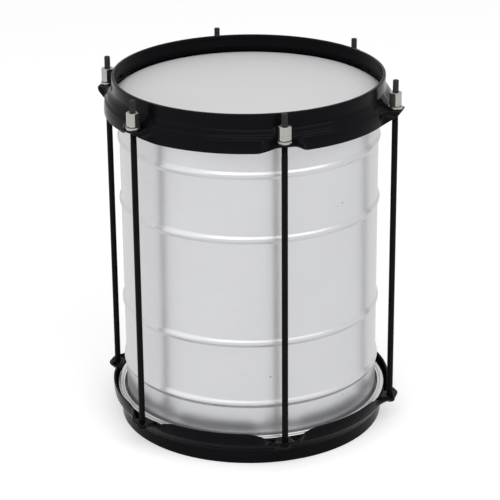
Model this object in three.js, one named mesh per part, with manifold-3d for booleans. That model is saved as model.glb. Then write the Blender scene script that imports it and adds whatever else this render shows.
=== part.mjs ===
import * as THREE from 'three';
import { mergeVertices } from 'three/addons/utils/BufferGeometryUtils.js';
import Module from 'manifold-3d';

// Lengths in millimetres. The drum stands on its lower rim at z = 0, with the first rod at the front (-Y).
// Depths are measured from a hoop's own rim towards the middle of the drum.

// Drum as a whole
const drumHeight = 357;
const rodCount = 6;
const seatGap = 0.3;

// Shell, with its pressed beads and turned-in edges
const shellRadius = 127;
const shellSheet = 1.2;
const outerBeadOffset = 117;
const innerBeadOffset = 53;
const beadHalfWidth = 5;
const beadHeight = 2;
const edgeRound = 1.5;
const edgeTurnIn = 3.6;
const edgeTurnDepth = 4.2;

// Head film: level below the rim, thickness, bend over the shell edge, slope down to the ring
const filmDepth = 17;
const filmThickness = 0.5;
const filmFlatInset = 1;
const filmBend = 1.6;
const filmBendDrop = 0.8;
const filmSlopeDrop = 2.9;

// Ring round the shell that holds the film's edge in a groove
const ringShellGap = 2.6;
const ringFilmGap = 0.8;
const ringWidth = 6.8;
const ringHeight = 8.6;
const ringChamfer = 0.8;
const grooveLip = 0.95;
const grooveDepth = 4.65;
const grooveClearance = 0.35;

// Hoop collar with a folded hem
const hoopSheet = 1.6;
const collarOffset = 6;
const hemWidth = 3.2;
const hemRound = 1;
const hemDepth = 3.4;

// Hoop shoulder and skirt
const shoulderHeight = 10.2;
const shoulderDrop = 3.5;
const skirtClearance = 3;
const skirtDepth = 34.7;

// Recess and ear at each rod, with how far each runs past the washer
const recessClearance = 0.7;
const recessMargin = 0.2;
const recessFlank = 3.6;
const ledgeDrop = 1.9;
const earNose = 0.5;
const earMargin = 2.2;
const earFlank = 16.4;
const foldFlank = 18.4;
const earHoleClearance = 0.6;

// Rod, washer and nut
const rodRadius = 3;
const rodTipRise = 4;
const rodTipRound = 1;
const rodTipFlat = 2;
const rodHeadRadius = 5.5;
const rodHeadHeight = 4;
const rodHeadRound = 1;
const washerRadius = 7;
const washerHeight = 2.6;
const washerClearance = 0.4;
const washerRecessGap = 0.6;
const nutCornerRadius = 6.6;
const nutHeight = 13.4;
const nutClearance = 0.35;
const nutChamfer = 0.7;

// Radii that follow, from the shell outwards
const ringInner = shellRadius + ringShellGap;
const ringOuter = ringInner + ringWidth;
const filmDropRadius = ringInner + grooveLip + grooveClearance + filmThickness;
const filmFlatRadius = shellRadius - filmFlatInset;
const collarRadius = shellRadius + collarOffset;
const skirtRadius = ringOuter + skirtClearance + hoopSheet;
const recessRadius = ringOuter + recessClearance + hoopSheet;
const rodCircle = recessRadius + washerRecessGap + washerRadius;
const earRadius = rodCircle + washerRadius + earNose;
const earHoleRadius = rodRadius + earHoleClearance;
const washerBore = rodRadius + washerClearance;
const nutBore = rodRadius + nutClearance;

// Depths that follow, from the rim inwards
const shellInset = filmDepth + filmThickness + seatGap;
const filmDropDepth = filmDepth + filmSlopeDrop;
const ringTop = filmDropDepth + ringFilmGap;
const ringBottom = ringTop + ringHeight;
const filmFootDepth = ringTop + grooveDepth - grooveClearance;
const shoulderDepth = ringTop - hoopSheet + shoulderDrop;
const shoulderStart = shoulderDepth - shoulderHeight;
const ledgeDepth = shoulderDepth + ledgeDrop;

// Facets and shares
const roundFacets = 48;
const rodFacets = 12;
const washerFacets = 16;
const nutFacets = 6;
const stationShares = [0, 0.1, 0.14, 0.2, 0.27, 0.34, 0.56, 0.78, 1];
const shoulderShares = [[0, 0], [0.275, 0.38], [0.65, 0.5], [0.865, 0.9], [1, 1]];
const insideSteps = [6, 5, 4, 3, 2, 1];
const beadCrestShare = 0.36;
const insideBeadShare = 0.88;

const sector = (Math.PI * 2) / rodCount;
const weldTolerance = 0.0001;
const wasm = await Module();
wasm.setup();

// Point on the drum at a radius, an angle from the front and a height
function around(radius, angle, height) {
  return new THREE.Vector3(radius * Math.sin(angle), -radius * Math.cos(angle), height);
}

// Smooth hill: 1 up to a flat half width, then down to 0 over its flank
function hill(distance, flank, flat) {
  const share = Math.min(1, Math.max(0, Math.abs(distance) - flat) / flank);
  return (1 + Math.cos(Math.PI * share)) / 2;
}

// Blend from a to b
function mix(a, b, share) {
  return a + (b - a) * share;
}

// Blend from one point to another
function between(a, b, share) {
  return a.map((value, i) => mix(value, b[i], share));
}

// Plain welded geometry whose faces point outwards
function welded(geometry) {
  geometry.deleteAttribute('normal');
  geometry.deleteAttribute('uv');
  const body = mergeVertices(geometry, weldTolerance);
  if (signedVolume(body) < 0) flip(body);
  return body;
}

// Volume from the faces, negative when they point inwards
function signedVolume(geometry) {
  const place = geometry.attributes.position;
  const index = geometry.index.array;
  const corner = [new THREE.Vector3(), new THREE.Vector3(), new THREE.Vector3()];
  let volume = 0;
  for (let i = 0; i < index.length; i += 3) {
    corner.forEach((point, k) => point.fromBufferAttribute(place, index[i + k]));
    volume += corner[0].dot(corner[1].cross(corner[2])) / 6;
  }
  return volume;
}

// Turn every face over
function flip(geometry) {
  const index = geometry.index.array;
  for (let i = 0; i < index.length; i += 3) {
    [index[i + 1], index[i + 2]] = [index[i + 2], index[i + 1]];
  }
}

// Body turned about the drum axis from [radius, height] points
function turned(points, facets, closed) {
  const line = points.map(([radius, height]) => new THREE.Vector2(radius, height));
  if (closed) line.push(line[0].clone());
  const geometry = new THREE.LatheGeometry(line, facets);
  geometry.rotateX(Math.PI / 2);
  return welded(geometry);
}

// Closed body through a loop of stations, each a closed ring of points
function throughStations(stations, endless) {
  const count = stations[0].length;
  const index = [];
  const gaps = endless ? stations.length : stations.length - 1;
  for (let s = 0; s < gaps; s += 1) {
    const here = s * count;
    const next = ((s + 1) % stations.length) * count;
    for (let p = 0; p < count; p += 1) {
      const q = (p + 1) % count;
      index.push(here + p, here + q, next + q, here + p, next + q, next + p);
    }
  }
  if (!endless) {
    const last = (stations.length - 1) * count;
    for (let p = 1; p < count - 1; p += 1) {
      index.push(0, p + 1, p, last, last + p, last + p + 1);
    }
  }
  const geometry = new THREE.BufferGeometry().setFromPoints(stations.flat());
  geometry.setIndex(index);
  return welded(geometry);
}

// Solid for cutting and joining
function solidOf(geometry) {
  const vertProperties = new Float32Array(geometry.attributes.position.array);
  const triVerts = new Uint32Array(geometry.index.array);
  return new wasm.Manifold(new wasm.Mesh({ numProp: 3, vertProperties, triVerts }));
}

// Geometry back from a solid
function geometryOf(solid) {
  const mesh = solid.getMesh();
  const geometry = new THREE.BufferGeometry();
  geometry.setAttribute('position', new THREE.BufferAttribute(new Float32Array(mesh.vertProperties), 3));
  geometry.setIndex(new THREE.BufferAttribute(new Uint32Array(mesh.triVerts), 1));
  return welded(geometry);
}

// Round bar on the drum axis, for drilling
function bar(radius, low, high, facets) {
  return turned([[0, low], [radius, low], [radius, high], [0, high]], facets, false);
}

// Line moved sideways by one sheet thickness, towards the drum axis
function insideLine(line) {
  return line.map((point, i) => {
    const before = line[Math.max(0, i - 1)];
    const after = line[Math.min(line.length - 1, i + 1)];
    const first = new THREE.Vector2(point[0] - before[0], point[1] - before[1]);
    const second = new THREE.Vector2(after[0] - point[0], after[1] - point[1]);
    if (i === 0) first.copy(second);
    if (i === line.length - 1) second.copy(first);
    const along = first.normalize().clone().add(second.normalize()).normalize();
    const spread = hoopSheet / along.dot(second);
    return [point[0] + along.y * spread, point[1] - along.x * spread];
  });
}

// Arc distance along the rod circle from the nearest rod
function arcFromRod(angle) {
  const turns = angle / sector;
  return (turns - Math.round(turns)) * sector * rodCircle;
}

// Outside of the hoop sheet at one arc from a rod, as [depth, radius] from the hem to the skirt edge.
// Near a rod the shoulder's foot is pressed in, and the skirt folds out until it is the level ear.
function outsideLine(arc) {
  const sunk = hill(arc, recessFlank, washerRadius + recessMargin);
  const out = hill(arc, earFlank, washerRadius + earMargin);
  const level = hill(arc, foldFlank, washerRadius);
  const shoulder = shoulderShares.map(([down, over]) => [
    mix(shoulderStart, shoulderDepth, down), mix(collarRadius, skirtRadius, over),
  ]);
  const [crest, foot] = shoulder.splice(-2);
  return [
    [hemRound, collarRadius],
    ...shoulder,
    between(crest, [ringTop, recessRadius], sunk),
    between(foot, [ledgeDepth, recessRadius], sunk),
    [mix(skirtDepth, ledgeDepth, level), mix(skirtRadius, earRadius, out)],
  ];
}

// Whole section of the hoop at one angle
function hoopSection(angle) {
  const outside = outsideLine(arcFromRod(angle));
  const inner = insideLine(outside);
  const inside = insideSteps.map((step) => inner[step]);
  const hemInner = collarRadius - hemWidth;
  const hem = [
    [hemDepth, collarRadius - hoopSheet],
    [hemDepth - hemRound, hemInner],
    [hemRound, hemInner],
    [0, hemInner + hemRound],
    [0, collarRadius - hemRound],
  ];
  return [...outside, ...inside, ...hem].map(([depth, radius]) => around(radius, angle, -depth));
}

// Pressed hoop with its rim at height zero and its skirt below
function hoop() {
  const angles = [];
  for (let rod = 0; rod < rodCount; rod += 1) {
    const before = stationShares.slice(1, -1).reverse().map((share) => -share);
    [...before, ...stationShares].forEach((share) => angles.push(sector * (rod + share / 2)));
  }
  let solid = solidOf(throughStations(angles.map(hoopSection), true));
  for (let rod = 0; rod < rodCount; rod += 1) {
    const drill = bar(earHoleRadius, -skirtDepth, 0, rodFacets);
    drill.translate(...around(rodCircle, rod * sector, 0).toArray());
    solid = solid.subtract(solidOf(drill));
  }
  return geometryOf(solid);
}

// Line of one side of the shell, as [radius, height] from bottom to top
function shellLine(radius, halfWidth, crest) {
  const middle = drumHeight / 2;
  const line = [];
  [-outerBeadOffset, -innerBeadOffset, innerBeadOffset, outerBeadOffset].forEach((offset) => {
    const height = middle + offset;
    line.push([radius, height - halfWidth], [radius + beadHeight, height - crest]);
    if (crest > 0) line.push([radius + beadHeight, height + crest]);
    line.push([radius, height + halfWidth]);
  });
  return line;
}

// Beaded tube, its two edges rounded and turned in
function shell() {
  const inner = shellRadius - shellSheet;
  const low = shellInset;
  const high = drumHeight - shellInset;
  const turn = shellRadius - edgeTurnIn;
  const outside = shellLine(shellRadius, beadHalfWidth, beadHalfWidth * beadCrestShare);
  const inside = shellLine(inner, beadHalfWidth * insideBeadShare, 0).reverse();
  return turned([
    [turn, low + edgeTurnDepth],
    [turn, low + edgeRound],
    [shellRadius - edgeRound, low],
    [shellRadius, low + edgeRound],
    ...outside,
    [shellRadius, high - edgeRound],
    [shellRadius - edgeRound, high],
    [turn, high - edgeRound],
    [turn, high - edgeTurnDepth],
    [inner, high - edgeTurnDepth - shellSheet],
    ...inside,
    [inner, low + edgeTurnDepth + shellSheet],
  ], roundFacets, true);
}

// Head film: a flat skin that bends over the shell edge and drops into the ring's groove
function film() {
  const t = filmThickness;
  return turned([
    [0, -filmDepth],
    [filmFlatRadius, -filmDepth],
    [filmFlatRadius + filmBend, -filmDepth - filmBendDrop],
    [filmDropRadius, -filmDropDepth],
    [filmDropRadius, -filmFootDepth],
    [filmDropRadius - t, -filmFootDepth],
    [filmDropRadius - t, -filmDropDepth - t / 2],
    [filmFlatRadius + filmBend - t / 2, -filmDepth - filmBendDrop - t],
    [filmFlatRadius, -filmDepth - t],
    [0, -filmDepth - t],
  ], roundFacets, false);
}

// Ring that holds the film's edge in a groove and is pressed by the hoop's shoulder
function fleshHoop() {
  const grooveOuter = filmDropRadius + grooveClearance;
  const grooveInner = filmDropRadius - filmThickness - grooveClearance;
  const grooveFloor = filmFootDepth + grooveClearance;
  return turned([
    [ringInner, -ringTop],
    [grooveInner, -ringTop],
    [grooveInner, -grooveFloor],
    [grooveOuter, -grooveFloor],
    [grooveOuter, -ringTop],
    [ringOuter - ringChamfer, -ringTop],
    [ringOuter, -ringTop - ringChamfer],
    [ringOuter, -ringBottom + ringChamfer],
    [ringOuter - ringChamfer, -ringBottom],
    [ringInner, -ringBottom],
  ], roundFacets, true);
}

// Long rod: round tip above, low head under the bottom ear
function rod() {
  const tip = drumHeight + rodTipRise;
  const seat = ledgeDepth - seatGap;
  const foot = seat - rodHeadHeight;
  return turned([
    [0, foot],
    [rodHeadRadius - rodHeadRound, foot],
    [rodHeadRadius, foot + rodHeadRound],
    [rodHeadRadius, seat],
    [rodRadius, seat],
    [rodRadius, tip - rodTipRound],
    [rodTipFlat, tip],
    [0, tip],
  ], rodFacets, false);
}

// Thick plain washer with its lower face at the given height
function washer(low) {
  const high = low + washerHeight;
  return turned([
    [washerBore, low], [washerRadius, low], [washerRadius, high], [washerBore, high],
  ], washerFacets, true);
}

// Long hexagon nut, corners eased at both ends and drilled through
function nut(low) {
  const high = low + nutHeight;
  const ease = nutCornerRadius - nutChamfer;
  const block = turned([
    [0, low], [ease, low], [nutCornerRadius, low + nutChamfer],
    [nutCornerRadius, high - nutChamfer], [ease, high], [0, high],
  ], nutFacets, false);
  const drill = bar(nutBore, 0, drumHeight + rodTipRise, rodFacets);
  return geometryOf(solidOf(block).subtract(solidOf(drill)));
}

// Upper piece moved to the top of the drum
function above(geometry) {
  geometry.translate(0, 0, drumHeight);
  return geometry;
}

// Lower piece: the same shape turned upside down
function below(geometry) {
  geometry.rotateY(Math.PI);
  return geometry;
}

const paint = { color: '#1d1d21', roughness: 0.35, metalness: 0.2 };
const aluminium = { color: '#d3d5d9', roughness: 0.25, metalness: 1 };
const ringMetal = { color: '#c0c2c6', roughness: 0.4, metalness: 1 };
const skin = { color: '#dcdce0', roughness: 0.45, metalness: 0 };
const blackSteel = { color: '#17171a', roughness: 0.4, metalness: 0.5 };
const nickel = { color: '#c9c5b9', roughness: 0.25, metalness: 1 };

const drum = new THREE.Group();
drum.name = 'repinique';

// Named mesh with its own material
function place(name, geometry, look) {
  const body = new THREE.Mesh(geometry, new THREE.MeshStandardMaterial(look));
  body.name = name;
  drum.add(body);
}

// Copy of a piece moved from the drum axis to one rod
function atRod(geometry, index) {
  return geometry.clone().translate(...around(rodCircle, index * sector, 0).toArray());
}

place('shell', shell(), aluminium);
place('top_hoop', above(hoop()), paint);
place('bottom_hoop', below(hoop()), paint);
place('batter_film', above(film()), skin);
place('resonant_film', below(film()), skin);
place('batter_flesh_hoop', above(fleshHoop()), ringMetal);
place('resonant_flesh_hoop', below(fleshHoop()), ringMetal);

const washerSeat = drumHeight - ledgeDepth + seatGap;
const rodShape = rod();
const washerShape = washer(washerSeat);
const nutShape = nut(washerSeat + washerHeight + seatGap);
for (let index = 0; index < rodCount; index += 1) {
  place(`tension_rod_${index + 1}`, atRod(rodShape, index), blackSteel);
  place(`washer_${index + 1}`, atRod(washerShape, index), nickel);
  place(`tension_nut_${index + 1}`, atRod(nutShape, index), nickel);
}

export default drum;
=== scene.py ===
import math
from collections import namedtuple

import bmesh
import bpy
from mathutils import Matrix, Vector


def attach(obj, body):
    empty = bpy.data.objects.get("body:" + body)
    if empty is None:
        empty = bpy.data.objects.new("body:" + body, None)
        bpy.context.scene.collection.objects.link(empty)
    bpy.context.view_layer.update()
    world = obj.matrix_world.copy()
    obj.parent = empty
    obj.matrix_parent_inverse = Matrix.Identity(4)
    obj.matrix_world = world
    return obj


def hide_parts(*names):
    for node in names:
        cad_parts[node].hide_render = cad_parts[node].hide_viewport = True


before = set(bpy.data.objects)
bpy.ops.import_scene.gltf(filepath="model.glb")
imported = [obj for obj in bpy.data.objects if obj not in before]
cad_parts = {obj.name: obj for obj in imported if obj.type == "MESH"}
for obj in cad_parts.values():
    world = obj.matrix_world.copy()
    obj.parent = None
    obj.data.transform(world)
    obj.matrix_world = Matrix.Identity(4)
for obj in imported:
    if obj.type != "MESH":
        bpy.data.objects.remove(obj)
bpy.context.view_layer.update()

# Sizes in metres. The drum stands on its lower rim at z = 0, with the first rod at the front (-Y).
# Depths are measured from a hoop's own rim towards the middle of the drum.
drum_height = 0.357
rod_count = 6
seat_gap = 0.0003

# Shell with its pressed beads and turned-in edges
shell_radius = 0.127
shell_sheet = 0.0012
bead_offsets = (-0.117, -0.053, 0.053, 0.117)
bead_half_width = 0.005
bead_height = 0.002
edge_round = 0.0015
edge_turn_in = 0.0036
edge_turn_depth = 0.0042
edge_turn_round = 0.0004

# Head film and the ring that holds its edge
film_depth = 0.017
film_thickness = 0.0005
film_flat_inset = 0.001
film_bend = 0.0016
film_bend_drop = 0.0008
film_slope_drop = 0.0029
ring_shell_gap = 0.0026
ring_film_gap = 0.0008
ring_width = 0.0068
ring_height = 0.0086
ring_round = 0.0009
ring_inner_round = 0.00054
ring_line_offset = 0.00204
ring_line_depth = 0.0005
ring_line_width = 0.0008
ring_line_round = 0.0003
ring_line_foot_round = 0.00015
groove_lip = 0.00095
groove_depth = 0.00465
groove_clearance = 0.00035
groove_round = 0.00027

# Pressed hoop: collar with a folded hem, shoulder and skirt
hoop_sheet = 0.0016
collar_offset = 0.006
hem_width = 0.0032
hem_round = 0.001
hem_inner_round = 0.0006
hem_depth = 0.0034
shoulder_height = 0.0102
shoulder_drop = 0.0035
skirt_clearance = 0.003
skirt_depth = 0.0355
skirt_crown = 0.0004
skirt_crown_share = 0.47
sheet_round = 0.0005

# Recess and upper ear at each rod, with how far each runs past the washer
recess_clearance = 0.0007
recess_margin = 0.0002
recess_flank = 0.0036
foot_bend = 0.0011
ledge_drop = 0.0019
ear_nose = 0.0005
ear_margin = 0.0022
ear_flank = 0.0164
fold_flank = 0.0184
ear_hole_clearance = 0.0006

# Lower ear, which the rods have pulled up and rounded
low_ledge_drop = 0.003
low_ear_lift = 0.0015
low_ear_nose = 0.0072
low_ear_flat = 0.0045
low_ear_flank = 0.022
low_fold_flank = 0.032

# Rod, washer and nut
rod_radius = 0.003
rod_tip_rise = 0.004
rod_tip_round = 0.001
rod_head_radius = 0.0055
rod_head_height = 0.004
rod_head_round = 0.0012
rod_head_seat_round = 0.00036
rod_neck_round = 0.0003
thread_pitch = 0.001
thread_depth = 0.00045
thread_length = 0.042
thread_run_out = 0.002
washer_radius = 0.007
washer_height = 0.0026
washer_clearance = 0.0004
washer_recess_gap = 0.0006
washer_round = 0.0004
washer_bore_round = 0.0002
nut_corner_radius = 0.0066
nut_height = 0.0134
nut_bore_clearance = 0.00005
nut_bore_ease = 0.0005
nut_chamfer = 0.0008
nut_edge_round = 0.00015
nut_edge_turn = math.radians(4.5)

# How far each nut is turned, as it was left after tuning
nut_turns = [math.radians(turn) for turn in (-25, 17, 5, -18, 12, -26)]

# Steps down the shoulder, as shares of its height and of the way out from the collar to the skirt
shoulder_shares = [(-0.1, 0), (0, 0), (0.31, 0.11), (0.61, 0.55), (0.81, 0.625), (1.03, 0.9)]

# How finely each form is made
hoop_stations = 360
hole_columns = 48
round_steps = 192
bead_rows = 20
film_rings = 24
washer_steps = 48
rod_steps = 24
shank_rows = 12
rows_per_pitch = 8
nut_columns = 96
nut_rows = 4
chamfer_rows = 8
fillet_steps = 4
soft_rounds = 2
corner_cut = 0.25
crease_angle = math.radians(38)
weld_distance = 0.000002

# Finish colours in linear light, from the first tone of each to its second
shell_tones = (0.55, 0.553, 0.565), (0.64, 0.643, 0.652)
pit_tone = (0.25, 0.25, 0.26)
paint_tones = (0.0045, 0.0044, 0.0058), (0.05, 0.05, 0.052)
film_tones = (0.69, 0.69, 0.70), (0.64, 0.64, 0.655)
ring_tones = (0.50, 0.505, 0.515), (0.64, 0.645, 0.655)
steel_tones = (0.0018, 0.0018, 0.0022), (0.07, 0.07, 0.072)
nickel_tones = (0.39, 0.388, 0.37), (0.3, 0.298, 0.28)

# Angle from rod to rod, and radii that follow, from the shell outwards
sector = 2 * math.pi / rod_count
ring_inner = shell_radius + ring_shell_gap
ring_outer = ring_inner + ring_width
film_drop_radius = ring_inner + groove_lip + groove_clearance + film_thickness
film_flat_radius = shell_radius - film_flat_inset
collar_radius = shell_radius + collar_offset
skirt_radius = ring_outer + skirt_clearance + hoop_sheet
recess_radius = ring_outer + recess_clearance + hoop_sheet
rod_circle = recess_radius + washer_recess_gap + washer_radius
ear_radius = rod_circle + washer_radius + ear_nose
ear_hole_radius = rod_radius + ear_hole_clearance

# Depths that follow, from the rim inwards
shell_inset = film_depth + film_thickness + seat_gap
film_drop_depth = film_depth + film_slope_drop
ring_top = film_drop_depth + ring_film_gap
ring_bottom = ring_top + ring_height
film_foot_depth = ring_top + groove_depth - groove_clearance
shoulder_depth = ring_top - hoop_sheet + shoulder_drop
shoulder_start = shoulder_depth - shoulder_height
ledge_depth = shoulder_depth + ledge_drop

# Heights that follow for a rod and what sits on it
rod_top = drum_height + rod_tip_rise
thread_start = rod_top - thread_length
washer_seat = drum_height - ledge_depth + seat_gap
nut_seat = washer_seat + washer_height + seat_gap

# An ear: depth of its ledge, how far its nose is lifted on, the nose's radius and its flat half width,
# and how far the nose and the skirt's fold run out beside it
Ear = namedtuple("Ear", "ledge lift radius flat flank fold_flank")
top_ear = Ear(
    ledge=ledge_depth, lift=0, radius=ear_radius,
    flat=washer_radius + ear_margin, flank=ear_flank, fold_flank=fold_flank)
bottom_ear = Ear(
    ledge=ledge_depth + low_ledge_drop, lift=low_ear_lift, radius=rod_circle + low_ear_nose,
    flat=low_ear_flat, flank=low_ear_flank, fold_flank=low_fold_flank)

# Camera, fitted to the photograph's rim, shell edges and rods
camera_turn = math.radians(-12.74)
camera_distance = 1.861
camera_height = 0.924
camera_pitch = math.radians(22.04)
camera_roll = math.radians(-0.49)
photo_focal_pixels = 1379
closer_view = 1.45
image_pixels = 500
sensor_width = 36

# Studio
room_light = 0.6
room_white = 1.0
floor_reach = 8.0
floor_gap = 0.00005
floor_tone = 0.8
floor_glow = 0.42
white = (1, 1, 1, 1)


def around(radius, angle, height):
    """Point at a radius, an angle from the front and a height."""
    return Vector((radius * math.sin(angle), -radius * math.cos(angle), height))


def hill(distance, flank, flat=0):
    """Smooth hill: 1 up to a flat half width, then down to 0 over its flank."""
    share = min(1, max(0, abs(distance) - flat) / flank)
    return (1 + math.cos(math.pi * share)) / 2


def mix(a, b, share):
    """Blend from a to b."""
    return a + (b - a) * share


def between(a, b, share):
    """Blend from one point to another."""
    return tuple(mix(p, q, share) for p, q in zip(a, b))


def softened(line, rounds):
    """Open line with its corners cut, its two ends kept."""
    for _ in range(rounds):
        cut = [line[0]]
        for a, b in zip(line, line[1:]):
            cut.append(between(a, b, corner_cut))
            cut.append(between(a, b, 1 - corner_cut))
        cut.append(line[-1])
        line = cut
    return line


def rounded(corners, closed=True):
    """Points of an outline whose corners are (x, y, length of the curve on each side)."""
    points = []
    count = len(corners)
    for i, (x, y, reach) in enumerate(corners):
        here = Vector((x, y))
        at_end = not closed and i in (0, count - 1)
        if at_end or reach == 0:
            points.append((x, y))
            continue
        before = Vector(corners[i - 1][:2])
        after = Vector(corners[(i + 1) % count][:2])
        start = here + (before - here).normalized() * reach
        end = here + (after - here).normalized() * reach
        for step in range(fillet_steps + 1):
            t = step / fillet_steps
            point = start * (1 - t) ** 2 + here * 2 * t * (1 - t) + end * t ** 2
            points.append((point.x, point.y))
    return points


class Shape:
    """Points and faces of one piece while it is being made."""

    def __init__(self):
        self.points = []
        self.faces = []

    def loop(self, points):
        """Adds a row of points and gives their numbers."""
        start = len(self.points)
        self.points += [Vector(point) for point in points]
        return list(range(start, len(self.points)))

    def skin(self, first, second):
        """Faces between two closed rows of points. A row of one point closes in a fan."""
        count = max(len(first), len(second))
        for i in range(count):
            j = (i + 1) % count
            if len(first) == 1:
                self.faces.append((first[0], second[j], second[i]))
            elif len(second) == 1:
                self.faces.append((first[i], first[j], second[0]))
            else:
                self.faces.append((first[i], first[j], second[j], second[i]))

    def skins(self, rows, endless=False):
        """Faces through a list of rows, and back to the first row if it is endless."""
        for first, second in zip(rows, rows[1:]):
            self.skin(first, second)
        if endless:
            self.skin(rows[-1], rows[0])

    def moved(self, matrix):
        """The same shape in another place."""
        copy = Shape()
        copy.points = [matrix @ point for point in self.points]
        copy.faces = list(self.faces)
        return copy

    def add(self, other):
        """Takes in another shape's points and faces."""
        start = len(self.points)
        self.points += other.points
        self.faces += [tuple(start + i for i in face) for face in other.faces]

    def mesh(self, name):
        """Blender mesh with smooth faces and crisp edges."""
        mesh = bpy.data.meshes.new(name)
        mesh.from_pydata(self.points, [], self.faces)
        tidy = bmesh.new()
        tidy.from_mesh(mesh)
        bmesh.ops.remove_doubles(tidy, verts=tidy.verts, dist=weld_distance)
        bmesh.ops.recalc_face_normals(tidy, faces=tidy.faces)
        tidy.to_mesh(mesh)
        tidy.free()
        mesh.shade_smooth()
        mesh.set_sharp_from_angle(angle=crease_angle)
        return mesh


def turned(profile, steps, endless=True):
    """Body turned about the drum's axis from (radius, height) points."""
    shape = Shape()
    turns = [2 * math.pi * i / steps for i in range(steps)]
    rows = []
    for radius, height in profile:
        if radius == 0:
            rows.append(shape.loop([(0, 0, height)]))
        else:
            rows.append(shape.loop(around(radius, turn, height) for turn in turns))
    shape.skins(rows, endless)
    return shape


def piece(name, mesh, finish, slot, body, *nodes):
    """Object for one piece, riding on its body in place of its plain solids."""
    mesh.materials.append(finish)
    made = bpy.data.objects.new(name, mesh)
    bpy.context.scene.collection.objects.link(made)
    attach(made, body)
    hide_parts(*nodes)


def at_top():
    """Place of the upper hoop, head and ring."""
    return Matrix.Translation((0, 0, drum_height))


def at_bottom():
    """Place of the lower hoop, head and ring, which are turned upside down."""
    return Matrix.Rotation(math.pi, 4, "Y")


def at_rod(index):
    """Place of one rod."""
    return Matrix.Translation(around(rod_circle, index * sector, 0))


def arc_from_rod(angle):
    """Distance along the rod circle from the nearest rod."""
    turns = angle / sector
    return (turns - round(turns)) * sector * rod_circle


def outside_line(arc, ear):
    """Outside of the hoop sheet at one arc from a rod, as (depth, radius) from the hem to the skirt's edge.

    Near a rod the shoulder's foot is pressed in, and the skirt folds out until it is the ear.
    The ear starts at the ledge's depth, and its nose is lifted on from there by the pull of the rod.
    """
    sunk = hill(arc, recess_flank, washer_radius + recess_margin)
    out = hill(arc, ear.flank, ear.flat)
    level = hill(arc, ear.fold_flank, washer_radius)
    above, start, *steps, crest, foot = [
        (mix(shoulder_start, shoulder_depth, down), mix(collar_radius, skirt_radius, over))
        for down, over in shoulder_shares]
    pressed_crest = (ring_top, recess_radius)
    for i, step in enumerate(steps):
        pressed = between(start, pressed_crest, (i + 1) / (len(steps) + 1))
        steps[i] = between(step, pressed, sunk)
    crest = between(crest, pressed_crest, sunk)
    foot = between(foot, (ear.ledge, recess_radius), sunk)
    edge = (mix(skirt_depth, ear.ledge + ear.lift, level), mix(skirt_radius, ear.radius, out))
    length = math.dist(foot, edge)
    bend = between(foot, edge, foot_bend / length)
    depth, radius = between(foot, edge, skirt_crown_share)
    crown = (depth, radius + skirt_crown * (1 - level))
    tip = between(edge, foot, sheet_round / length)
    return [(hem_round, collar_radius), above, start, *steps, crest, foot, bend, crown, tip]


def other_side(line, thickness):
    """Far side of a sheet whose near side is the line."""
    moved = []
    for i, point in enumerate(line):
        here = Vector(point)
        before = Vector(line[max(0, i - 1)])
        after = Vector(line[min(len(line) - 1, i + 1)])
        first = (here - before) if i > 0 else (after - here)
        second = (after - here) if i < len(line) - 1 else first
        along = (first.normalized() + second.normalized()).normalized()
        spread = thickness / along.dot(second.normalized())
        moved.append((here.x + along.y * spread, here.y - along.x * spread))
    return moved


def hoop_section(angle, ear):
    """Closed section of the hoop at one angle, with a folded hem and eased skirt edge."""
    outside = outside_line(arc_from_rod(angle), ear)
    inside = other_side(outside, hoop_sheet)
    inside[0] = (hem_depth, collar_radius - hoop_sheet)
    near, far = Vector(outside[-1]), Vector(inside[-1])
    tip = (near - Vector(outside[-2])).normalized() * sheet_round
    lip = rounded([
        (*near, 0), (*(near + tip), sheet_round), (*(far + tip), sheet_round), (*far, 0),
    ], closed=False)
    hem_inner = collar_radius - hem_width
    hem = rounded([
        (hem_depth, collar_radius - hoop_sheet, 0),
        (hem_depth, hem_inner, hem_inner_round),
        (0, hem_inner, hem_round),
        (0, collar_radius, hem_round),
        (hem_round, collar_radius, 0),
    ], closed=False)
    back = softened(inside, soft_rounds)[::-1]
    section = softened(outside, soft_rounds) + lip[1:-1] + back + hem[1:-1]
    return [around(radius, angle, -depth) for depth, radius in section]


def drill():
    """Round cutter for the six rod holes in a hoop."""
    shape = Shape()
    for index in range(rod_count):
        outline = [(0, -skirt_depth), (ear_hole_radius, -skirt_depth), (ear_hole_radius, 0), (0, 0)]
        shape.add(turned(outline, hole_columns, endless=False).moved(at_rod(index)))
    return shape


def hoop(ear):
    """Pressed hoop with its rim at height zero and its skirt below, drilled for the rods."""
    shape = Shape()
    angles = [2 * math.pi * i / hoop_stations for i in range(hoop_stations)]
    shape.skins([shape.loop(hoop_section(angle, ear)) for angle in angles], endless=True)
    return cut("pressed_hoop", shape, drill())


def cut(name, shape, cutter):
    """Shape with another shape cut out of it."""
    blank = bpy.data.objects.new(name, shape.mesh(name))
    tool = bpy.data.objects.new("cutter", cutter.mesh("cutter"))
    for item in (blank, tool):
        bpy.context.scene.collection.objects.link(item)
    step = blank.modifiers.new("holes", "BOOLEAN")
    step.operation = "DIFFERENCE"
    step.solver = "EXACT"
    step.object = tool
    bpy.context.view_layer.update()
    mesh = blank.evaluated_get(bpy.context.evaluated_depsgraph_get()).to_mesh()
    result = Shape()
    result.points = [vertex.co.copy() for vertex in mesh.vertices]
    result.faces = [tuple(face.vertices) for face in mesh.polygons]
    for item in (blank, tool):
        bpy.data.meshes.remove(item.data)
    return result


def bead(height):
    """How far the shell's beads stand out at one height."""
    from_middle = height - drum_height / 2
    return sum(bead_height * hill(from_middle - offset, bead_half_width) for offset in bead_offsets)


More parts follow.
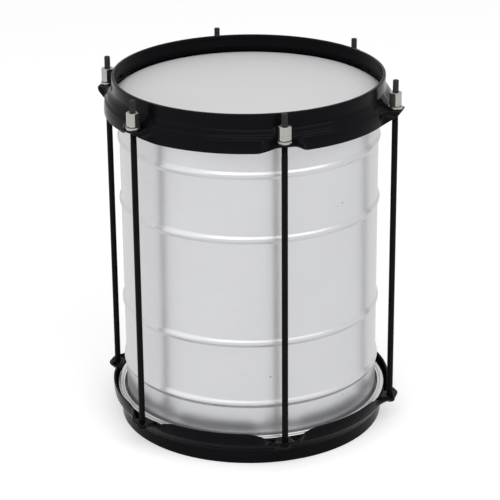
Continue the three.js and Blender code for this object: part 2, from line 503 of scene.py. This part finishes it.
def shell():
    """Beaded tube with its two edges rounded and turned in."""
    low = shell_inset
    high = drum_height - shell_inset
    inner = shell_radius - shell_sheet
    turn = shell_radius - edge_turn_in
    heights = [low + edge_turn_depth + shell_sheet]
    for offset in bead_offsets:
        middle = drum_height / 2 + offset
        heights += [middle + bead_half_width * (2 * i / bead_rows - 1) for i in range(bead_rows + 1)]
    heights.append(high - edge_turn_depth - shell_sheet)
    wall = [(shell_radius + bead(height), height) for height in heights]
    back = [(radius - shell_sheet, height) for radius, height in reversed(wall)]
    lower = rounded([
        (inner, low + edge_turn_depth + shell_sheet, 0),
        (turn, low + edge_turn_depth, edge_turn_round),
        (turn, low, edge_round),
        (shell_radius, low, edge_round),
        (shell_radius, low + edge_turn_depth, 0),
    ], closed=False)
    upper = [(radius, drum_height - height) for radius, height in lower[::-1]]
    return turned(lower[1:-1] + wall + upper[1:-1] + back, round_steps)


def film():
    """Head film: flat skin, bent over the shell's edge and held in the ring's groove."""
    flat = [(film_flat_radius * i / film_rings, -film_depth) for i in range(film_rings + 1)]
    over = softened([
        (film_flat_radius, -film_depth),
        (film_flat_radius + film_bend, -film_depth - film_bend_drop),
        (film_drop_radius, -film_drop_depth),
        (film_drop_radius, -film_drop_depth - film_bend_drop),
        (film_drop_radius, -film_foot_depth),
    ], soft_rounds)
    top = flat + over[1:]
    under = [(radius, height - film_thickness) for radius, height in flat]
    under += other_side(over, film_thickness)[1:]
    return turned(top + under[::-1], round_steps, endless=False)


def flesh_hoop():
    """Ring that holds the film's edge, with a shallow turned line on the face that shows."""
    groove_outer = film_drop_radius + groove_clearance
    groove_inner = film_drop_radius - film_thickness - groove_clearance
    groove_floor = film_foot_depth + groove_clearance
    line = ring_inner + ring_line_offset
    outline = rounded([
        (ring_inner, -ring_top, groove_round),
        (groove_inner, -ring_top, groove_round),
        (groove_inner, -groove_floor, 0),
        (groove_outer, -groove_floor, 0),
        (groove_outer, -ring_top, groove_round),
        (ring_outer, -ring_top, ring_round),
        (ring_outer, -ring_bottom, ring_round),
        (line + ring_line_width, -ring_bottom, ring_line_round),
        (line + ring_line_width / 2, -ring_bottom + ring_line_depth, ring_line_foot_round),
        (line, -ring_bottom, ring_line_round),
        (ring_inner, -ring_bottom, ring_inner_round),
    ])
    return turned(outline, round_steps)


def thread(height, turn):
    """How far the thread is cut in at a height and a turn about the rod."""
    fade = min(1, max(0, (height - thread_start) / thread_run_out))
    phase = (height / thread_pitch - turn / (2 * math.pi)) % 1
    return thread_depth * fade * (1 - abs(2 * phase - 1))


def rod():
    """Long rod: threaded upper end with a rounded tip, low round head under the bottom ear."""
    shape = Shape()
    seat_share = (rod_circle - rod_head_radius - recess_radius) / (bottom_ear.radius - recess_radius)
    seat = bottom_ear.ledge + bottom_ear.lift * seat_share - seat_gap
    foot = seat - rod_head_height
    profile = rounded([
        (0, foot, 0),
        (rod_head_radius, foot, rod_head_round),
        (rod_head_radius, seat, rod_head_seat_round),
        (rod_radius, seat, rod_neck_round),
        (rod_radius, seat + rod_head_height, 0),
    ], closed=False)
    neck = profile[-1][1]
    profile += [(rod_radius, mix(neck, thread_start, i / shank_rows)) for i in range(1, shank_rows + 1)]
    rows_up = round(thread_length / thread_pitch * rows_per_pitch)
    profile += [(rod_radius, thread_start + thread_length * i / rows_up) for i in range(1, rows_up + 1)]
    turns = [2 * math.pi * i / rod_steps for i in range(rod_steps)]
    rows = []
    for radius, height in profile:
        if radius == 0:
            rows.append(shape.loop([(0, 0, height)]))
            continue
        into_tip = max(0, rod_tip_round - (rod_top - height))
        tip = rod_tip_round - math.sqrt(max(0, rod_tip_round ** 2 - into_tip ** 2))
        row = [around(radius - max(thread(height, turn), tip), turn, height) for turn in turns]
        rows.append(shape.loop(row))
    rows.append(shape.loop([(0, 0, rod_top)]))
    shape.skins(rows)
    return shape


def washer():
    """Thick plain washer with eased edges, on the upper ear."""
    bore = rod_radius + washer_clearance
    low = washer_seat
    high = low + washer_height
    return turned(rounded([
        (bore, low, washer_bore_round),
        (washer_radius, low, washer_round),
        (washer_radius, high, washer_round),
        (bore, high, washer_bore_round),
    ]), washer_steps)


def nut():
    """Long hexagon nut: flats cut back by a cone at both ends, and an eased bore."""
    shape = Shape()
    low = nut_seat
    high = low + nut_height
    bore = rod_radius + nut_bore_clearance
    flat = nut_corner_radius * math.cos(math.pi / 6)
    face = flat - nut_edge_round
    slope = nut_chamfer / (nut_corner_radius - face)
    drops = [nut_chamfer * (i / chamfer_rows) for i in range(1, chamfer_rows + 1)]
    rows = [(bore + nut_bore_ease, high), (face, high)]
    rows += [(face + drop / slope, high - drop) for drop in drops]
    rows += [(nut_corner_radius, mix(high, low, i / nut_rows)) for i in range(1, nut_rows)]
    rows += [(face + drop / slope, low + drop) for drop in reversed(drops)]
    rows += [(face, low), (bore + nut_bore_ease, low)]
    rows += [(bore, low + nut_bore_ease), (bore, high - nut_bore_ease)]
    loops = []
    for limit, height in rows:
        row = []
        for i in range(nut_columns):
            turn = 2 * math.pi * i / nut_columns
            side = (turn + math.pi / 6) % (math.pi / 3) - math.pi / 6
            eased = nut_edge_round * hill(abs(side) - math.pi / 6, nut_edge_turn)
            hexagon = flat / math.cos(side) - eased
            row.append(around(min(limit, hexagon), turn, height))
        loops.append(shape.loop(row))
    shape.skins(loops, endless=True)
    return shape


class Wire:
    """An output of a shader node. Sums and products of wires add the nodes they need."""

    def __init__(self, finish, socket):
        self.finish = finish
        self.socket = socket

    def __add__(self, other):
        return self.finish.maths("ADD", self, other)

    def __radd__(self, other):
        return self.finish.maths("ADD", other, self)

    def __sub__(self, other):
        return self.finish.maths("SUBTRACT", self, other)

    def __rsub__(self, other):
        return self.finish.maths("SUBTRACT", other, self)

    def __mul__(self, other):
        return self.finish.maths("MULTIPLY", self, other)

    def __rmul__(self, other):
        return self.finish.maths("MULTIPLY", other, self)


class Finish:
    """Shader nodes of one finish."""

    def __init__(self, owner):
        owner.use_nodes = True
        self.owner = owner
        self.tree = owner.node_tree
        self.tree.nodes.clear()

    def node(self, kind, settings=None, sockets=None, output=0):
        """New node: its settings first, then the values or wires of its sockets."""
        made = self.tree.nodes.new(kind)
        for key, value in (settings or {}).items():
            setattr(made, key, value)
        for key, value in (sockets or {}).items():
            if isinstance(value, Wire):
                self.tree.links.new(value.socket, made.inputs[key])
            else:
                made.inputs[key].default_value = value
        return Wire(self, made.outputs[output]) if len(made.outputs) else None

    def maths(self, operation, *values):
        """Result of one sum, product or comparison."""
        return self.node("ShaderNodeMath", {"operation": operation}, dict(enumerate(values)))

    def place(self):
        """Place on the piece, in metres in the drum's frame."""
        return self.node("ShaderNodeTexCoord", output="Object")

    def height(self):
        """Height on the drum."""
        return self.node("ShaderNodeSeparateXYZ", sockets={0: self.place()}, output=2)

    def stretched(self, factors):
        """Place scaled along each axis."""
        return self.node("ShaderNodeVectorMath", {"operation": "MULTIPLY"}, {0: self.place(), 1: factors})

    def noise(self, vector, scale, detail=2.0, roughness=0.5):
        """Cloudy pattern from 0 to 1."""
        return self.node("ShaderNodeTexNoise", sockets={
            "Vector": vector, "Scale": scale, "Detail": detail, "Roughness": roughness})

    def specks(self, vector, scale):
        """Distance to the nearest of many scattered spots, in cells."""
        return self.node("ShaderNodeTexVoronoi", sockets={
            "Vector": vector, "Scale": scale, "Randomness": 1.0})

    def between(self, wire, low, high):
        """0 up to low, 1 from high, smooth in between."""
        return self.node(
            "ShaderNodeMapRange", {"interpolation_type": "SMOOTHSTEP"}, {0: wire, 1: low, 2: high})

    def tint(self, mask, first, second):
        """Colour that goes with the mask from first, a colour or a wire, to second."""
        start = first if isinstance(first, Wire) else (*first, 1)
        return self.node(
            "ShaderNodeMix", {"data_type": "RGBA"}, {0: mask, 6: start, 7: (*second, 1)}, output=2)

    def relief(self, height, distance):
        """Raised and sunk detail, a distance high."""
        return self.node("ShaderNodeBump", sockets={
            "Height": height, "Distance": distance, "Strength": 1.0})

    def coat(self, **sockets):
        """Main shader with its output, and the material that carries them."""
        named = {key.replace("_", " ").title().replace("Ior", "IOR"): value for key, value in sockets.items()}
        surface = self.node("ShaderNodeBsdfPrincipled", sockets=named)
        self.show(surface)
        return self.owner

    def show(self, surface):
        """Ends the nodes with the surface's output."""
        is_world = isinstance(self.owner, bpy.types.World)
        kind = "ShaderNodeOutputWorld" if is_world else "ShaderNodeOutputMaterial"
        self.node(kind, sockets={"Surface": surface})


def new_finish(name):
    """Finish on a new material."""
    return Finish(bpy.data.materials.new(name))


def satin_aluminium():
    """Spun shell sheet: fine strokes round the tube, clouded sheen, small pits and scratches."""
    metal = new_finish("satin_aluminium")
    strokes = metal.noise(metal.stretched((9, 9, 2400)), scale=1.0, detail=3.0, roughness=0.6)
    clouds = metal.noise(metal.place(), scale=16.0, detail=3.0)
    pits = 1 - metal.between(metal.specks(metal.place(), scale=26.0), low=0.018, high=0.03)
    streaks = metal.noise(metal.stretched((60, 60, 900)), scale=1.0, detail=1.0)
    scratches = metal.between(streaks, low=0.74, high=0.8)
    marks = metal.maths("MAXIMUM", pits, scratches * 0.25)
    sheen = metal.tint(strokes * 0.5 + clouds * 0.5, *shell_tones)
    return metal.coat(
        base_color=metal.tint(marks, sheen, pit_tone),
        metallic=0.7,
        roughness=0.3 + strokes * 0.06 + clouds * 0.06 + pits * 0.2,
        normal=metal.relief(strokes * 0.4 - pits, distance=0.00004))


def hoop_paint():
    """Black satin paint with a faint orange peel, dust and a worn line on the rims."""
    paint = new_finish("hoop_paint")
    worn_depth = 0.0006
    peel = paint.noise(paint.place(), scale=420.0)
    specks = paint.noise(paint.place(), scale=220.0, detail=4.0, roughness=0.7)
    dust = paint.between(specks, low=0.56, high=0.72)
    height = paint.height()
    upper_rim = paint.between(height, drum_height - worn_depth, drum_height)
    lower_rim = paint.between(worn_depth - height, 0.0, worn_depth)
    patches = paint.between(paint.noise(paint.place(), scale=160.0, detail=3.0), low=0.4, high=0.65)
    wear = (upper_rim + lower_rim) * patches
    mask = paint.maths("MINIMUM", dust * 0.03 + wear * 0.3, 1.0)
    return paint.coat(
        base_color=paint.tint(mask, *paint_tones),
        metallic=0.0,
        roughness=0.18 + dust * 0.05 + wear * 0.15,
        specular_ior_level=0.04,
        normal=paint.relief(peel, distance=0.000006))


def head_film():
    """Milky drum film: matt coat with a faint grain and light playing marks."""
    skin = new_finish("head_film")
    grain = skin.noise(skin.place(), scale=1500.0)
    clouds = skin.noise(skin.place(), scale=9.0, detail=3.0)
    strikes = skin.noise(skin.stretched((45, 160, 45)), scale=1.0, detail=3.0)
    marks = skin.between(strikes, low=0.63, high=0.78)
    return skin.coat(
        base_color=skin.tint(clouds * 0.6 + marks * 0.3, *film_tones),
        metallic=0.0,
        roughness=0.42 + clouds * 0.1 - marks * 0.1,
        specular_ior_level=0.4,
        normal=skin.relief(grain, distance=0.000015))


def ring_aluminium():
    """Turned aluminium ring: fine lines round it and a clouded grey sheen."""
    metal = new_finish("ring_aluminium")
    lines = metal.noise(metal.stretched((30, 30, 3000)), scale=1.0)
    clouds = metal.noise(metal.place(), scale=60.0, detail=3.0)
    return metal.coat(
        base_color=metal.tint(clouds, *ring_tones),
        metallic=1.0,
        roughness=0.16 + lines * 0.08 + clouds * 0.06,
        normal=metal.relief(lines, distance=0.00003))


def black_steel():
    """Blackened rod steel: near black on the shank, rubbed grey on the thread."""
    steel = new_finish("black_steel")
    worn_from = drum_height - ledge_depth
    grain = steel.noise(steel.stretched((1, 1, 0.12)), scale=1400.0)
    clouds = steel.noise(steel.place(), scale=120.0, detail=3.0)
    worn = steel.between(steel.height(), worn_from, worn_from + 2 * thread_pitch)
    return steel.coat(
        base_color=steel.tint(worn * (0.3 + clouds * 0.4) + grain * 0.04, *steel_tones),
        metallic=0.0,
        roughness=0.4 + worn * 0.15 + grain * 0.1,
        specular_ior_level=0.06,
        normal=steel.relief(grain, distance=0.00001))


def warm_nickel():
    """Nickel plate, slightly warm, with smudges and fine spanner marks on the nuts and washers."""
    plate = new_finish("warm_nickel")
    smudges = plate.noise(plate.place(), scale=260.0, detail=3.0, roughness=0.6)
    nicks = plate.between(plate.noise(plate.stretched((900, 900, 120)), scale=1.0), low=0.66, high=0.78)
    return plate.coat(
        base_color=plate.tint(smudges * 0.7 + nicks * 0.3, *nickel_tones),
        metallic=1.0,
        roughness=0.24 + smudges * 0.12 + nicks * 0.1,
        normal=plate.relief(smudges * 0.3 - nicks * 0.4, distance=0.000006))


def make_shell():
    """The tube between the two heads."""
    piece("shell_tube", shell().mesh("shell_tube"), satin_aluminium(), "shell_aluminium", "drum", "shell")


def make_heads():
    """The two hoops, with the film and the ring that each holds down."""
    paint = hoop_paint()
    skin = head_film()
    ring = ring_aluminium()
    for side, head, place, ear in (
            ("top", "batter", at_top(), top_ear),
            ("bottom", "resonant", at_bottom(), bottom_ear)):
        hoop_mesh = hoop(ear).moved(place).mesh(f"{side}_pressed_hoop")
        piece(f"{side}_pressed_hoop", hoop_mesh, paint, "hoop_paint", "drum", f"{side}_hoop")
        film_mesh = film().moved(place).mesh(f"{head}_head_film")
        piece(f"{head}_head_film", film_mesh, skin, "head_film", "drum", f"{head}_film")
        ring_mesh = flesh_hoop().moved(place).mesh(f"{head}_head_ring")
        piece(f"{head}_head_ring", ring_mesh, ring, "ring_aluminium", "drum", f"{head}_flesh_hoop")


def make_tuning():
    """Six rods, and on each the washer and the nut that pull the hoops together."""
    steel = black_steel()
    plate = warm_nickel()
    rod_shape = rod()
    washer_shape = washer()
    nut_shape = nut()
    for index in range(rod_count):
        number = index + 1
        place = at_rod(index)
        rod_mesh = rod_shape.moved(place).mesh(f"threaded_rod_{number}")
        piece(f"threaded_rod_{number}", rod_mesh, steel, "rod_black", "drum", f"tension_rod_{number}")
        washer_mesh = washer_shape.moved(place).mesh(f"plated_washer_{number}")
        piece(f"plated_washer_{number}", washer_mesh, plate, "nickel", f"washer_{number}", f"washer_{number}")
        turn = Matrix.Rotation(nut_turns[index], 4, "Z")
        nut_mesh = nut_shape.moved(place @ turn).mesh(f"hexagon_nut_{number}")
        piece(f"hexagon_nut_{number}", nut_mesh, plate, "nickel", f"nut_{number}", f"tension_nut_{number}")


def white_to_camera(finish):
    """1 for rays from the camera and for mirrored and refracted ones, else 0."""
    camera = finish.node("ShaderNodeLightPath", output="Is Camera Ray")
    mirrored = finish.node("ShaderNodeLightPath", output="Is Glossy Ray")
    through = finish.node("ShaderNodeLightPath", output="Is Transmission Ray")
    return finish.maths("MINIMUM", camera + mirrored + through, 1.0)


def studio_world():
    """White room that lights the drum evenly."""
    world = bpy.data.worlds.new("studio")
    bpy.context.scene.world = world
    room = Finish(world)
    light = room.node("ShaderNodeBackground", sockets={"Color": white, "Strength": room_light})
    seen = room.node("ShaderNodeBackground", sockets={"Color": white, "Strength": room_white})
    room.show(room.node("ShaderNodeMixShader", sockets={0: white_to_camera(room), 1: light, 2: seen}))


def studio_floor():
    """Plain pale floor that goes white in the picture and keeps the drum's shadow."""
    shape = Shape()
    corners = [(-1, -1), (1, -1), (1, 1), (-1, 1)]
    shape.faces.append(tuple(shape.loop((x * floor_reach, y * floor_reach, -floor_gap) for x, y in corners)))
    pale = new_finish("studio_floor")
    matt = pale.node("ShaderNodeBsdfDiffuse", sockets={"Color": (floor_tone, floor_tone, floor_tone, 1)})
    glow = pale.node("ShaderNodeEmission", sockets={
        "Color": white, "Strength": white_to_camera(pale) * floor_glow})
    pale.show(pale.node("ShaderNodeAddShader", sockets={0: matt, 1: glow}))
    mesh = shape.mesh("studio_floor")
    mesh.materials.append(pale.owner)
    floor = bpy.data.objects.new("studio_floor", mesh)
    bpy.context.scene.collection.objects.link(floor)


def lamp(name, place, width, height, power):
    """Soft box at a place, turned towards the drum's middle."""
    drum_middle = Vector((0, 0, drum_height / 2))
    light = bpy.data.lights.new(name, "AREA")
    light.shape = "RECTANGLE"
    light.size = width
    light.size_y = height
    light.energy = power
    made = bpy.data.objects.new(name, light)
    made.location = place
    made.rotation_euler = (drum_middle - Vector(place)).to_track_quat("-Z", "Y").to_euler()
    bpy.context.scene.collection.objects.link(made)


def studio_camera():
    """The photograph's viewpoint, brought closer with a longer lens."""
    data = bpy.data.cameras.new("camera")
    data.sensor_width = sensor_width
    data.lens = sensor_width * photo_focal_pixels * closer_view / image_pixels
    camera = bpy.data.objects.new("camera", data)
    place = Matrix.Translation(around(camera_distance, camera_turn, camera_height))
    heading = Matrix.Rotation(camera_turn, 4, "Z")
    pitch = Matrix.Rotation(math.pi / 2 - camera_pitch, 4, "X")
    roll = Matrix.Rotation(camera_roll, 4, "Z")
    camera.matrix_world = place @ heading @ pitch @ roll
    bpy.context.scene.collection.objects.link(camera)
    bpy.context.scene.camera = camera


bpy.context.scene.view_settings.view_transform = "Standard"
studio_camera()
studio_world()
studio_floor()
lamp("front_box", place=(0.15, -1.4, 1.75), width=4.0, height=0.9, power=25)
lamp("left_box", place=(-1.8, -0.5, 0.9), width=1.6, height=1.6, power=5)
make_shell()
make_heads()
make_tuning()
